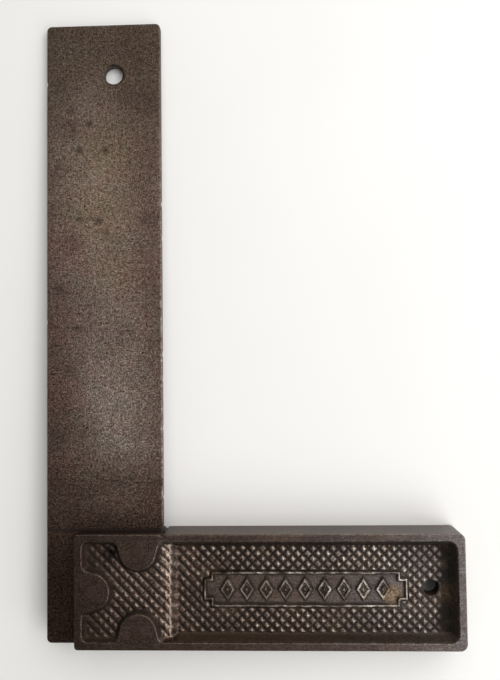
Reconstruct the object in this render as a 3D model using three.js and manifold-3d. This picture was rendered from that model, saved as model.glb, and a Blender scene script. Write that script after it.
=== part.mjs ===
// An all-metal try square: a flat steel blade riveted into the slotted end of a cast stock.
// Millimetres, +Z up. The square lies flat, with the stock along X and the blade along Y.
//
// The pieces are drawn with the inside corner of the angle at x = 0, y = 0, and the stock's
// lower face at z = 0. The exported group then puts the origin at the centre of the base.
import * as THREE from "three";
import { mergeVertices } from "three/addons/utils/BufferGeometryUtils.js";
import Module from "manifold-3d";

// Blade
const BLADE_REACH = 152.4; // from the stock's inner face to the tip: six inches
const BLADE_WIDTH = 34.6;
const BLADE_THICKNESS = 2.4;
const BLADE_CORNER = 1.4;
const BLADE_FOOT_SHORT = 0.35; // how far the foot stops short of the stock's outer edge
const BLADE_HOLE_RADIUS = 2.75;
const BLADE_HOLE_FROM_EDGE = 14.2; // from the blade's inner edge
const BLADE_HOLE_FROM_TIP = 15.5;

// Stock
const STOCK_LENGTH = 112;
const STOCK_WIDTH = 32.9;
const STOCK_THICKNESS = 12.7;
const BLADE_OVERHANG = 9.4; // how far the blade stands out past the stock's slotted end
const FREE_END_CORNER = 2;
const SLOTTED_END_CORNER = 1;
const RIM = 2.2; // width of the flat rim round the pockets
const WALL_SLOPE = 0.4; // how far a pocket's wall leans in for each millimetre down
const GRIP_POCKET_DEPTH = 4;
const GRIP_POCKET_START = 2.2;
const GRIP_POCKET_CORNER = 2.6;
const JOINT_POCKET_DEPTH = 2;
const JOINT_POCKET_END = 9;
const JOINT_POCKET_CORNER = 1.6;
const STOCK_HOLE_RADIUS = 2.35;
const STOCK_HOLE_FROM_END = 9.3;
const STOCK_HOLE_OFF_CENTRE = 0.4;

// The slot for the blade, and the round notch at the inside corner that clears a burr
const SLOT_PAST_BLADE = 1;
const NOTCH_RADIUS = 0.5;
const NOTCH_CENTRE = [0.25, -0.15];

// The three pads, which stand up to the rim's height and carry the rivets
const PAD_RADIUS = 5.3;
const PAD_SPLAY = 16 / 90; // lean of a pad's flanks, in quarter turns: wider at the rim
const PAD_FLARE = 1.2; // radius of the fillets where a pad grows out of the rim
const PAD_REACH = 8; // from the rim's inner edge to the pad's round end
const PAD_CENTRE_X = -6.7; // of the two pads on the long sides

// Rivets, with both ends spread into a countersink and ground flush
const RIVET_RADIUS = 1.6;
const RIVET_HEAD_RADIUS = 2;
const RIVET_HEAD_DEPTH = 0.9;

// The raised frame in the grip pocket, a rectangle with a narrower tab at each end,
// and the row of lozenges inside it
const FRAME_CENTRE_X = 41.4;
const FRAME_LENGTH = 54.8;
const FRAME_WIDTH = 10.4;
const TAB_LENGTH = 2.1;
const TAB_WIDTH = 6.4;
const RIDGE_WIDTH = 1;
const RIDGE_HEIGHT = 1;
const LOZENGE_COUNT = 9;
const LOZENGE_PITCH = 5.6;
const LOZENGE_LENGTH = 4.6;
const LOZENGE_WIDTH = 7;
const LOZENGE_BEVEL = 0.5; // how far its sides lean in

const FIT_GAP = 0.2; // clearance left round the blade and the rivets
const SUNK = 0.4; // how deep a raised detail is rooted in the pocket's floor
const OVERRUN = 2; // how far a cutter runs past the surface it cuts
const ARC_STEPS = 10; // segments in a quarter turn
const ROUND_SIDES = 32; // sides of a rivet or a bar

const STOCK_END = STOCK_LENGTH - (BLADE_WIDTH - BLADE_OVERHANG); // free end, in X
const STOCK_START = BLADE_OVERHANG - BLADE_WIDTH; // slotted end, in X
const STOCK_MIDDLE_Y = -STOCK_WIDTH / 2;
const MIDDLE_Z = STOCK_THICKNESS / 2;
const STOCK_HOLE = [STOCK_END - STOCK_HOLE_FROM_END, STOCK_MIDDLE_Y + STOCK_HOLE_OFF_CENTRE];
const PAD_CENTRE_DEPTH = RIM + PAD_REACH - PAD_RADIUS; // from the stock's edge

const RIVETS = {
  rivet_inner: [PAD_CENTRE_X, -PAD_CENTRE_DEPTH],
  rivet_end: [STOCK_START + PAD_CENTRE_DEPTH, STOCK_MIDDLE_Y],
  rivet_outer: [PAD_CENTRE_X, -STOCK_WIDTH + PAD_CENTRE_DEPTH],
};

const wasm = await Module();
wasm.setup();

const STEEL = new THREE.MeshStandardMaterial({ color: 0x5a5048, roughness: 0.55, metalness: 0.85 });
const IRON = new THREE.MeshStandardMaterial({ color: 0x4d433c, roughness: 0.6, metalness: 0.8 });
const RIVET_STEEL = new THREE.MeshStandardMaterial({
  color: 0x6b625a,
  roughness: 0.5,
  metalness: 0.85,
});

/** A manifold-3d solid from a closed three.js geometry. */
function solid(geometry) {
  geometry.deleteAttribute("normal");
  geometry.deleteAttribute("uv");
  const merged = mergeVertices(geometry);
  const vertProperties = new Float32Array(merged.attributes.position.array);
  const triVerts = new Uint32Array(merged.index.array);
  return new wasm.Manifold(new wasm.Mesh({ numProp: 3, vertProperties, triVerts }));
}

/** A three.js geometry from a manifold-3d solid. */
function geometryOf(manifold) {
  const { vertProperties, triVerts } = manifold.getMesh();
  const geometry = new THREE.BufferGeometry();
  geometry.setAttribute("position", new THREE.BufferAttribute(vertProperties, 3));
  geometry.setIndex(new THREE.BufferAttribute(triVerts, 1));
  geometry.computeVertexNormals();
  return geometry;
}

/** Points along an arc, both ends included. Angles are in quarter turns from +X. */
function arc(x, y, radius, startQuarter, endQuarter) {
  const steps = Math.round(Math.abs(endQuarter - startQuarter) * ARC_STEPS);
  const points = [];
  for (let i = 0; i <= steps; i += 1) {
    const quarters = startQuarter + ((endQuarter - startQuarter) * i) / steps;
    const angle = (quarters * Math.PI) / 2;
    points.push(new THREE.Vector2(x + radius * Math.cos(angle), y + radius * Math.sin(angle)));
  }
  return points;
}

/** A rectangle with round corners, anticlockwise from the lower left one. */
function roundedRectangle(left, bottom, right, top, leftRadius, rightRadius) {
  return [
    ...arc(left + leftRadius, bottom + leftRadius, leftRadius, 2, 3),
    ...arc(right - rightRadius, bottom + rightRadius, rightRadius, 3, 4),
    ...arc(right - rightRadius, top - rightRadius, rightRadius, 0, 1),
    ...arc(left + leftRadius, top - leftRadius, leftRadius, 1, 2),
  ];
}

/** A flat-sided solid of the outline, from bottomZ up. */
function prism(outline, bottomZ, height) {
  const geometry = new THREE.ExtrudeGeometry(new THREE.Shape(outline), {
    depth: height,
    bevelEnabled: false,
  });
  geometry.translate(0, 0, bottomZ);
  return solid(geometry);
}

/** A round bar along Z through the whole stock, with its axis at x, y. */
function throughBar(x, y, radius) {
  const length = STOCK_THICKNESS + 2 * OVERRUN;
  const geometry = new THREE.CylinderGeometry(radius, radius, length, ROUND_SIDES);
  geometry.rotateX(Math.PI / 2);
  geometry.translate(x, y, MIDDLE_Z);
  return solid(geometry);
}

/**
 * A solid whose outline is given at the middle and draws in by lean towards both ends, over
 * the height slope at each. It cuts the upper pocket with its lower end and the lower
 * pocket with its upper end.
 */
function taperedPrism(outline, middleHeight, slope, lean) {
  return new THREE.ExtrudeGeometry(new THREE.Shape(outline), {
    depth: middleHeight,
    bevelThickness: slope,
    bevelSize: lean,
    bevelOffset: -lean,
    bevelSegments: 1,
  });
}

/** The two cutters, for the upper and the lower face, of a pocket with leaning walls. */
function pocketCutters(outline, depth) {
  const upper = taperedPrism(outline, OVERRUN, depth, depth * WALL_SLOPE);
  const lower = upper.clone();
  upper.translate(0, 0, STOCK_THICKNESS);
  lower.translate(0, 0, -OVERRUN);
  return [solid(upper), solid(lower)];
}

/** The deep pocket that makes the grip. It runs from the joint to the free end. */
function gripPocketOutline() {
  return roundedRectangle(
    GRIP_POCKET_START,
    RIM - STOCK_WIDTH,
    STOCK_END - RIM,
    -RIM,
    GRIP_POCKET_CORNER,
    GRIP_POCKET_CORNER,
  );
}

/** One pad's outline, drawn for a wall along +X at the origin with the pocket towards +Y. */
function padOutline() {
  const lean = (PAD_SPLAY * Math.PI) / 2;
  const centreY = PAD_REACH - PAD_RADIUS;
  const flankAtWall = PAD_RADIUS / Math.cos(lean) + centreY * Math.tan(lean);
  const flareX = flankAtWall + PAD_FLARE * Math.tan(Math.PI / 4 - lean / 2);
  return [
    ...arc(-flareX, PAD_FLARE, PAD_FLARE, -1, -PAD_SPLAY),
    ...arc(0, centreY, PAD_RADIUS, 2 - PAD_SPLAY, PAD_SPLAY),
    ...arc(flareX, PAD_FLARE, PAD_FLARE, 2 + PAD_SPLAY, 3),
  ];
}

/** A pad's outline moved to a point on the pocket's wall, and turned to that wall. */
function padAt(x, y, quarterTurns) {
  const origin = new THREE.Vector2();
  const angle = (quarterTurns * Math.PI) / 2;
  return padOutline().map((point) => point.rotateAround(origin, angle).add({ x, y }));
}

/** The shallow pocket over the joint, with the three pads left standing in it. */
function jointPocketOutline() {
  const left = STOCK_START + RIM;
  const bottom = RIM - STOCK_WIDTH;
  const r = JOINT_POCKET_CORNER;
  return [
    ...arc(left + r, bottom + r, r, 2, 3),
    ...padAt(PAD_CENTRE_X, bottom, 0),
    ...arc(JOINT_POCKET_END - r, bottom + r, r, 3, 4),
    ...arc(JOINT_POCKET_END - r, -RIM - r, r, 0, 1),
    ...padAt(PAD_CENTRE_X, -RIM, 2),
    ...arc(left + r, -RIM - r, r, 1, 2),
    ...padAt(left, STOCK_MIDDLE_Y, -1),
  ];
}

/** The slot that takes the blade's foot, open at the end and along both sides. */
function slotCutter() {
  const width = SLOT_PAST_BLADE - STOCK_START + OVERRUN;
  const height = BLADE_THICKNESS + 2 * FIT_GAP;
  const geometry = new THREE.BoxGeometry(width, STOCK_WIDTH + 2 * OVERRUN, height);
  geometry.translate(SLOT_PAST_BLADE - width / 2, STOCK_MIDDLE_Y, MIDDLE_Z);
  return solid(geometry);
}

/** The outline of the raised frame, drawn in by inset from its outer edge. */
function frameOutline(inset) {
  const x = FRAME_LENGTH / 2 - inset;
  const tabX = x + TAB_LENGTH;
  const y = FRAME_WIDTH / 2 - inset;
  const tabY = TAB_WIDTH / 2 - inset;
  const corners = [
    [tabX, -tabY],
    [tabX, tabY],
    [x, tabY],
    [x, y],
    [-x, y],
    [-x, tabY],
    [-tabX, tabY],
    [-tabX, -tabY],
    [-x, -tabY],
    [-x, -y],
    [x, -y],
    [x, -tabY],
  ];
  return corners.map(([dx, dy]) => new THREE.Vector2(FRAME_CENTRE_X + dx, STOCK_MIDDLE_Y + dy));
}

/** Where a raised detail of the pocket's floor starts in Z, on the upper and lower face. */
function raisedStarts() {
  const upper = STOCK_THICKNESS - GRIP_POCKET_DEPTH - SUNK;
  const lower = GRIP_POCKET_DEPTH - RIDGE_HEIGHT;
  return [upper, lower];
}

/** The raised frames of both faces. */
function frameRidges() {
  const ring = new THREE.Shape(frameOutline(0));
  ring.holes.push(new THREE.Path(frameOutline(RIDGE_WIDTH)));
  return raisedStarts().map((bottomZ) => {
    const height = RIDGE_HEIGHT + SUNK;
    const geometry = new THREE.ExtrudeGeometry(ring, { depth: height, bevelEnabled: false });
    geometry.translate(0, 0, bottomZ);
    return solid(geometry);
  });
}

/** The lozenges inside the frames of both faces. */
function lozenges() {
  const shapes = [];
  for (let i = 0; i < LOZENGE_COUNT; i += 1) {
    const x = FRAME_CENTRE_X + (i - (LOZENGE_COUNT - 1) / 2) * LOZENGE_PITCH;
    const outline = [
      new THREE.Vector2(x + LOZENGE_LENGTH / 2, STOCK_MIDDLE_Y),
      new THREE.Vector2(x, STOCK_MIDDLE_Y + LOZENGE_WIDTH / 2),
      new THREE.Vector2(x - LOZENGE_LENGTH / 2, STOCK_MIDDLE_Y),
      new THREE.Vector2(x, STOCK_MIDDLE_Y - LOZENGE_WIDTH / 2),
    ];
    for (const bottomZ of raisedStarts()) {
      const geometry = taperedPrism(outline, SUNK, RIDGE_HEIGHT, LOZENGE_BEVEL);
      const rootZ = bottomZ < MIDDLE_Z ? bottomZ + RIDGE_HEIGHT : bottomZ;
      geometry.translate(0, 0, rootZ);
      shapes.push(solid(geometry));
    }
  }
  return shapes;
}

/** A rivet's outline from its axis out, with clearance added all round for its hole. */
function rivetProfile(clearance) {
  const shank = RIVET_RADIUS + clearance;
  const head = RIVET_HEAD_RADIUS + clearance;
  return [
    new THREE.Vector2(0, 0),
    new THREE.Vector2(head, 0),
    new THREE.Vector2(shank, RIVET_HEAD_DEPTH),
    new THREE.Vector2(shank, STOCK_THICKNESS - RIVET_HEAD_DEPTH),
    new THREE.Vector2(head, STOCK_THICKNESS),
    new THREE.Vector2(0, STOCK_THICKNESS),
  ];
}

/** A rivet standing on z = 0 at the origin. */
function rivetGeometry(clearance) {
  const geometry = new THREE.LatheGeometry(rivetProfile(clearance), ROUND_SIDES);
  geometry.rotateX(Math.PI / 2);
  return geometry;
}

/** The hole for a rivet, in the stock and the blade. */
function rivetHole([x, y]) {
  const geometry = rivetGeometry(FIT_GAP);
  geometry.translate(x, y, 0);
  return solid(geometry);
}

/** The cast stock: a thick bar with a pocket on each face, and the slot for the blade. */
function stockGeometry() {
  const outline = roundedRectangle(
    STOCK_START,
    -STOCK_WIDTH,
    STOCK_END,
    0,
    SLOTTED_END_CORNER,
    FREE_END_CORNER,
  );
  const cutters = [
    ...pocketCutters(gripPocketOutline(), GRIP_POCKET_DEPTH),
    ...pocketCutters(jointPocketOutline(), JOINT_POCKET_DEPTH),
  ];
  let stock = prism(outline, 0, STOCK_THICKNESS);
  for (const cutter of cutters) stock = stock.subtract(cutter);
  for (const detail of [...frameRidges(), ...lozenges()]) stock = stock.add(detail);
  stock = stock.subtract(slotCutter());
  stock = stock.subtract(throughBar(...NOTCH_CENTRE, NOTCH_RADIUS));
  stock = stock.subtract(throughBar(...STOCK_HOLE, STOCK_HOLE_RADIUS));
  for (const place of Object.values(RIVETS)) stock = stock.subtract(rivetHole(place));
  return geometryOf(stock);
}

/** The blade's outline. Its inner edge has a point where it leaves the stock, at y = 0. */
function bladeOutline() {
  const r = BLADE_CORNER;
  const footY = BLADE_FOOT_SHORT - STOCK_WIDTH;
  return [
    ...arc(r - BLADE_WIDTH, footY + r, r, 2, 3),
    ...arc(-r, footY + r, r, 3, 4),
    new THREE.Vector2(0, 0),
    ...arc(-r, BLADE_REACH - r, r, 0, 1),
    ...arc(r - BLADE_WIDTH, BLADE_REACH - r, r, 1, 2),
  ];
}

/** The blade: a flat strip from the stock's outer side to the tip, with round holes. */
function bladeGeometry() {
  const shape = new THREE.Shape(bladeOutline());
  const holeY = BLADE_REACH - BLADE_HOLE_FROM_TIP;
  shape.holes.push(new THREE.Path(arc(-BLADE_HOLE_FROM_EDGE, holeY, BLADE_HOLE_RADIUS, 0, 4)));
  for (const [x, y] of Object.values(RIVETS)) {
    shape.holes.push(new THREE.Path(arc(x, y, RIVET_RADIUS + FIT_GAP, 0, 4)));
  }
  const geometry = new THREE.ExtrudeGeometry(shape, {
    depth: BLADE_THICKNESS,
    bevelEnabled: false,
  });
  geometry.translate(0, 0, MIDDLE_Z - BLADE_THICKNESS / 2);
  return geometry;
}

/** A named mesh of the geometry. */
function piece(name, geometry, material) {
  const mesh = new THREE.Mesh(geometry, material);
  mesh.name = name;
  return mesh;
}

const trySquare = new THREE.Group();
trySquare.add(piece("stock", stockGeometry(), IRON));
trySquare.add(piece("blade", bladeGeometry(), STEEL));
for (const [name, [x, y]] of Object.entries(RIVETS)) {
  const rivet = piece(name, rivetGeometry(0), RIVET_STEEL);
  rivet.position.set(x, y, 0);
  trySquare.add(rivet);
}
trySquare.position.set((BLADE_WIDTH - STOCK_END) / 2, (STOCK_WIDTH - BLADE_REACH) / 2, 0);

export default trySquare;
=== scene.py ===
import math

import bpy
import numpy as np
from mathutils import Euler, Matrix, Vector, kdtree, noise
from mathutils.geometry import delaunay_2d_cdt


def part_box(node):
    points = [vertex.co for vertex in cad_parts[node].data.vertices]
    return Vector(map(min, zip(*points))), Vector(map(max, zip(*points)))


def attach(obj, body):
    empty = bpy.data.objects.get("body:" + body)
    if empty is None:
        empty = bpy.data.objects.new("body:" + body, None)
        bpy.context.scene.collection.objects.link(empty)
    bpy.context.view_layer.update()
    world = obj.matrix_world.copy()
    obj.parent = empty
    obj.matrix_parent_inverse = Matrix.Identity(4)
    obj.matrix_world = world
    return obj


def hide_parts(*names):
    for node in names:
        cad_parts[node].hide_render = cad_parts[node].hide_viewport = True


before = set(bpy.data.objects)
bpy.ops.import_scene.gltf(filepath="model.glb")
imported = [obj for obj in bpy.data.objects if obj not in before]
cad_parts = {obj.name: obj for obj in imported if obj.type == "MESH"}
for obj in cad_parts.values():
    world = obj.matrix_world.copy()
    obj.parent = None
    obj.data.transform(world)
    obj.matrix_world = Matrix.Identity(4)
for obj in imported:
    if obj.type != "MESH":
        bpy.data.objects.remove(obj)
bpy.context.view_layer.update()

MM = 0.001
STOCK_LOW, STOCK_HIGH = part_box("stock")
BLADE_LOW, BLADE_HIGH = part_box("blade")
CORNER = Vector((BLADE_HIGH.x, STOCK_HIGH.y, (STOCK_LOW.z + STOCK_HIGH.z) / 2))

# Outer sizes, from the CAD boxes
STOCK_START = (STOCK_LOW.x - CORNER.x) / MM
STOCK_END = (STOCK_HIGH.x - CORNER.x) / MM
STOCK_EDGE = (STOCK_LOW.y - CORNER.y) / MM
STOCK_TOP = (STOCK_HIGH.z - CORNER.z) / MM
BLADE_LEFT = (BLADE_LOW.x - CORNER.x) / MM
BLADE_FOOT = (BLADE_LOW.y - CORNER.y) / MM
BLADE_TIP = (BLADE_HIGH.y - CORNER.y) / MM
BLADE_TOP = (BLADE_HIGH.z - CORNER.z) / MM
MIDDLE_Y = STOCK_EDGE / 2

# The stock's pockets, pads and holes
RIM = 2.2
WALL_SLOPE = 0.4  # how far a wall leans in for each millimetre down
GRIP_DEPTH = 4.0
JOINT_DEPTH = 2.0
STEP = (2.1, 4.7)  # where the floor drops from the joint to the grip, in x
GRIP_CORNER = 2.6
JOINT_CORNER = 1.6
FREE_END_CORNER = 2.0
SLOTTED_END_CORNER = 1.0
PAD_RADIUS = 5.3
PAD_SPLAY = math.radians(16)  # lean of a pad's flanks, which are wider apart at the rim
PAD_FLARE = 1.2  # fillet where a pad meets its wall
PAD_REACH = 8.0  # from its wall to its tip
PAD_X = -6.7
PAD_DEPTH = RIM + PAD_REACH - PAD_RADIUS  # of a pad's centre, from the stock's edge
STOCK_HOLE = (STOCK_END - 9.3, MIDDLE_Y + 0.4)
STOCK_HOLE_RADIUS = 2.35
NOTCH = (0.25, -0.15)  # centre of the relief notch's round bottom
NOTCH_RADIUS = 0.5
SLOT_END = 1.0  # where the slot for the blade's foot stops, in x
SLOT_GAP = 0.03  # and round the rivets

# The raised frame in the grip and the row of lozenges inside it
FRAME_X = 41.4
FRAME_HALF = (27.4, 5.2)
TAB_HALF = (29.5, 3.2)
RIDGE_WIDTH = 1.0
RIDGE_HEIGHT = 1.0
LOZENGE_HEIGHT = 0.9  # as a share of the ridge's
LOZENGES = 9
LOZENGE_PITCH = 5.6
LOZENGE_HALF = (2.3, 3.5)
LOZENGE_INSET = math.prod(LOZENGE_HALF) / math.hypot(*LOZENGE_HALF)  # from its side to its middle

# The rivets, each through the middle of a pad, and the way that the pad points from its wall
RIVET_RADIUS = 2.0
RIVET_SUNK = 0.015  # of a rivet's ends, below the rim
RIVET_SIDES = 64
RIVETS = {
    "rivet_inner": (PAD_X, -PAD_DEPTH),
    "rivet_end": (STOCK_START + PAD_DEPTH, MIDDLE_Y),
    "rivet_outer": (PAD_X, STOCK_EDGE + PAD_DEPTH),
}
PAD_POINTS = {"rivet_inner": (0, -1), "rivet_end": (1, 0), "rivet_outer": (0, 1)}

# The blade
BLADE_CORNER = 1.4
BLADE_HOLE = (-14.2, BLADE_TIP - 15.5)
BLADE_HOLE_RADIUS = 2.75
# Nicks in its long edges: the way each is cut in x, its place in y, half its length, its depth
NICKS = (
    (1, 134.5, 1, 0.28), (1, 62, 0.8, 0.15), (-1, 97.5, 1, 0.3), (-1, 87, 1.2, 0.15),
    (-1, 52, 1.2, 0.2), (-1, 44.5, 1, 0.15), (-1, 30, 1, 0.15), (-1, 9.5, 0.8, 0.2),
)

# The round holes, each as its centre and radius
RIVET_HOLES = [(place, RIVET_RADIUS) for place in RIVETS.values()]
STOCK_HOLES = [(STOCK_HOLE, STOCK_HOLE_RADIUS), *RIVET_HOLES]
BLADE_HOLES = [(BLADE_HOLE, BLADE_HOLE_RADIUS), *RIVET_HOLES]

# Knurling: small pyramids between two crossing families of straight grooves, each with how
# many grooves there are in a millimetre along x and along y, and the place of its first groove
GROOVES_PER_MM = np.array([(0.3446, 0.3325), (0.3404, -0.3482)])
FIRST_GROOVE = np.array((0.05, -0.13))
KNURL_HEIGHT = 0.55
KNURL_STEPS = 8  # mesh steps from groove to groove
KNURL_RIGHT = 79.4  # where the teeth fade out
TOOTH_WEAR = np.random.default_rng(7).uniform(0.5, 1.1, (97, 89))  # what height a tooth wears to

ARRIS = 0.25  # radius of the worn outer edges

# How bright wear has made the metal, from 0 to 1, with painted highlight on the step and a painted
# reflection on the side walls
EDGE_WEAR = 0.3  # along the stock's outer edges
MOUTH_WEAR = 0.42  # along the edges round the pockets
STEP_WEAR_AND_HIGHLIGHT = 0.5  # wear and painted highlight on the teeth at the top of the step, whose slope faces the light
SIDE_WEAR_AND_SHEEN = 0.14  # wear and a painted reflection of the pale table, all over the side walls
BLADE_EDGE_WEAR = 0.12
FLECK_WEAR = 0.75  # added on the flecks along the blade's inner edge

# Spacing of the mesh points
RING_STEP = 0.35  # along the edges
LOZENGE_STEP = 0.3  # along the sides of the lozenges
FLAT_STEP = 0.9  # on the stock's rim and pads
FIELD_STEP = 0.4  # inside the raised frame
BLADE_STEP = 1.6  # on the blade's face
RING_GAP = 0.17  # at least, from the stock's rings to the points between them
BLADE_RING_GAP = 0.5
SIDE_ROWS = (0.3, 0.8)  # depths below its edge of the rows on a side wall
SLIVER = 0.001  # triangles whose middle is nearer to an outline than this are left out
SHARP_ANGLE = 40  # degrees between two faces


# ---- outlines and distances

def smoothstep(value, start, end):
    t = np.clip((value - start) / (end - start), 0, 1)
    return t * t * (3 - 2 * t)


def smooth_max(a, b, blend):
    return np.maximum(a, b) + np.maximum(blend - np.abs(a - b), 0) ** 2 / (4 * blend)


def smooth_min(a, b, blend):
    return -smooth_max(-a, -b, blend)


def near(distance, width):
    """1 where the distance is 0, fading out over about width on both sides."""
    return np.exp(-((distance / width) ** 2))


def wobble(points, size, seed):
    """Smooth noise from -1 to 1 at each point, with features about size across."""
    return np.array([noise.noise(Vector((x / size, y / size, seed))) for x, y in points])


def rounded_polygon(corners, spacing=RING_STEP):
    """Evenly spaced points round a closed outline of (x, y, corner radius) corners."""
    dense = []
    count = len(corners)
    for i, (x, y, radius) in enumerate(corners):
        here = Vector((x, y))
        before = Vector(corners[i - 1][:2]) - here
        after = Vector(corners[(i + 1) % count][:2]) - here
        if radius == 0:
            dense.append(here)
            continue
        half_angle = before.angle(after) / 2
        reach = radius / math.tan(half_angle)
        start = here + before.normalized() * reach
        end = here + after.normalized() * reach
        middle = (before.normalized() + after.normalized()).normalized()
        centre = here + middle * (radius / math.sin(half_angle))
        first = start - centre
        turn = first.angle_signed(end - centre)
        steps = max(2, round(abs(turn) * radius / spacing * 4))
        for k in range(steps + 1):
            angle = -turn * k / steps
            cos, sin = math.cos(angle), math.sin(angle)
            turned = (first.x * cos - first.y * sin, first.x * sin + first.y * cos)
            dense.append(centre + Vector(turned))
    return resample(np.array(dense), spacing)


def resample(outline, spacing):
    """The closed outline as points the same distance apart."""
    closed = np.vstack([outline, outline[:1]])
    run = np.r_[0, np.cumsum(np.hypot(*np.diff(closed, axis=0).T))]
    places = np.linspace(0, run[-1], max(8, round(run[-1] / spacing)), endpoint=False)
    return np.column_stack([np.interp(places, run, closed[:, k]) for k in (0, 1)])


def circle(centre, radius):
    angles = np.linspace(0, 2 * math.pi, max(24, round(2 * math.pi * radius / RING_STEP)), False)
    return centre + radius * np.column_stack([np.cos(angles), np.sin(angles)])


def circle_distance(points, centre, radius):
    return np.hypot(*(points - np.array(centre)).T) - radius


def box_distance(points, low, high, left_radius, right_radius):
    """Distance from a rectangle with round corners, negative inside it."""
    low, high = np.array(low), np.array(high)
    centre = (low + high) / 2
    radius = np.where(points[:, 0] > centre[0], right_radius, left_radius)
    q = np.abs(points - centre) - (high - low) / 2 + radius[:, None]
    return np.hypot(*np.maximum(q, 0).T) + np.minimum(q.max(axis=1), 0) - radius


def pad_distance(points, centre, out):
    """Distance from a pad with a round end, whose flanks splay behind it, away from out."""
    rel = points - np.array(centre)
    back = -rel @ np.array(out)
    side = np.abs(rel[:, 0] * out[1] - rel[:, 1] * out[0])
    cos, sin = math.cos(PAD_SPLAY), math.sin(PAD_SPLAY)
    beside = side * cos - back * sin
    return np.where(side * sin + back * cos < 0, np.hypot(side, back), beside) - PAD_RADIUS


def fillet_union(a, b, radius):
    """The distance from two solids joined with a fillet."""
    inside = np.hypot(np.maximum(radius - a, 0), np.maximum(radius - b, 0))
    return np.maximum(radius, np.minimum(a, b)) - inside


def stock_distance(points):
    """Distance inside the stock's outline, negative outside it."""
    low, high = (STOCK_START, STOCK_EDGE), (STOCK_END, 0)
    box = box_distance(points, low, high, SLOTTED_END_CORNER, FREE_END_CORNER)
    depth = np.minimum(points[:, 1] - NOTCH[1], 0)
    notch = np.hypot(points[:, 0] - NOTCH[0], depth) - NOTCH_RADIUS
    return -np.maximum(box, -notch)


def pocket_distance(points):
    """Distance from the rim and pads, positive in the pocket and negative on the metal."""
    low, high = (STOCK_START + RIM, STOCK_EDGE + RIM), (STOCK_END - RIM, -RIM)
    solid = -box_distance(points, low, high, JOINT_CORNER, GRIP_CORNER)
    for name, centre in RIVETS.items():
        pad = pad_distance(points, centre, PAD_POINTS[name])
        solid = fillet_union(solid, pad, PAD_FLARE)
    return solid


def frame_distance(points):
    """Distance from the raised frame's stepped outline, negative inside it."""
    from_middle = np.abs(points - np.array((FRAME_X, MIDDLE_Y)))
    main = (from_middle - np.array(FRAME_HALF)).max(axis=1)
    tabs = (from_middle - np.array(TAB_HALF)).max(axis=1)
    return np.minimum(main, tabs)


def lozenge_centres():
    first = FRAME_X - (LOZENGES - 1) / 2 * LOZENGE_PITCH
    return [(first + i * LOZENGE_PITCH, MIDDLE_Y) for i in range(LOZENGES)]


def lozenge_distance(points):
    """Distance from the nearest lozenge, negative inside it."""
    half_x, half_y = LOZENGE_HALF
    nearest = np.full(len(points), np.inf)
    for centre in lozenge_centres():
        dx, dy = np.abs(points - np.array(centre)).T
        nearest = np.minimum(nearest, (dx / half_x + dy / half_y - 1) * LOZENGE_INSET)
    return nearest


def is_metal(points, distance, holes):
    """Whether each point is inside an outline, by its distance, and clear of the holes."""
    metal = distance(points) > SLIVER
    for centre, radius in holes:
        metal &= circle_distance(points, centre, radius) > 0
    return metal


def arris_drop(distance):
    """How far a rounded edge lies below the flat, at a distance in from the side."""
    short = np.clip(ARRIS - distance, 0, ARRIS)
    return ARRIS - np.sqrt(ARRIS**2 - short**2)


def arris_levels(*angles):
    """Distances in from the side to those angles, in degrees, round the edge."""
    return [ARRIS * (1 - math.cos(math.radians(angle))) for angle in angles]


# ---- the stock's relief

def drift(points):
    """How far the hand-cut knurl strays from a perfect grid."""
    sway = 0.14 * np.column_stack([wobble(points, 17, 3.1), wobble(points, 17, 8.7)])
    return sway + 0.09 * np.column_stack([wobble(points, 3.5, 4.4), wobble(points, 3.5, 6.2)])


def knurl_phases(points):
    """Place across each family of grooves: a whole number is the bottom of a groove."""
    return GROOVES_PER_MM @ (points - drift(points)).T + FIRST_GROOVE[:, None]


def knurl_tooth(points):
    """Height of the knurl from 0 in the grooves to 1 on a sharp tooth."""
    i, j = knurl_phases(points)
    across = 1 - np.abs(2 * (i - np.floor(i)) - 1)
    along = 1 - np.abs(2 * (j - np.floor(j)) - 1)
    # The second family of grooves is cut less deep, above all towards the joint
    shallow = 0.17 * (1 - smoothstep(points[:, 0], 6, 22)) * (1 + 0.8 * wobble(points, 7, 2.6))
    least = 0.08 + np.clip(shallow, 0, 0.4)
    tooth = smooth_min(across, least + (1 - least) * along, 0.04)
    rows, columns = TOOTH_WEAR.shape
    wear = TOOTH_WEAR[np.floor(i).astype(int) % rows, np.floor(j).astype(int) % columns]
    return np.clip(smooth_min(tooth, wear, 0.06), 0, 1)


def knurl_strength(points, off_wall):
    """How high the knurl stands: full on the floors, and 0 on the walls and raised frame."""
    clear_of_wall = smoothstep(off_wall, -0.1, 0.5)
    clear_of_frame = smoothstep(frame_distance(points), 0.0, 0.45)
    ragged = points[:, 0] + 0.9 * wobble(points, 3, 1.7)
    before_end = 1 - smoothstep(ragged, KNURL_RIGHT - 0.8, KNURL_RIGHT + 2.2)
    clogged = 0.3 * (1 - smoothstep(points[:, 0], -22, -13))
    rubbed_slope = 0.6 * near(points[:, 0] - STEP[0] - 0.8, 1.4)
    worn = 0.95 - clogged - rubbed_slope + 0.25 * wobble(points, 14, 5.5)
    return clear_of_wall * clear_of_frame * before_end * worn


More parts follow.
